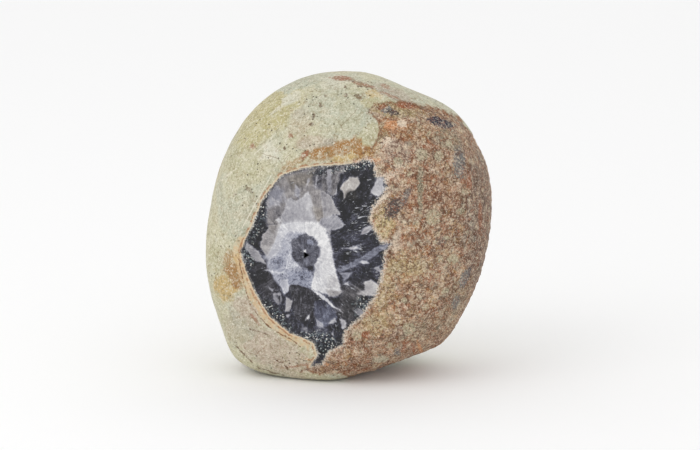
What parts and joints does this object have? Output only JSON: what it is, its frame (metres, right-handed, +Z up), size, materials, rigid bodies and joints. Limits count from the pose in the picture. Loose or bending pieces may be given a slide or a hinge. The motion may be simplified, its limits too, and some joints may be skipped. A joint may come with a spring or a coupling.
{
  "type": "geode half",
  "caption": "Rounded half of a geode, with a flat polished face of dark and milky quartz in a pale-skinned brown stone. It stands on a ground flat.",
  "frame": {"origin": "centre of the bounding box, at its base, on the level of the ground flat that the stone stands on", "axes": "-Y is the outward normal of the polished face, +Z is up, and +X is to the right as seen from in front of that face"},
  "size_m": [0.1756, 0.1186, 0.1857],
  "materials": {
    "stone": "matt natural skin, rough brown matrix and one polished face of dark and milky quartz"
  },
  "bodies": {
    "root": {"geode_half": "stone"}
  },
  "joints": []
}
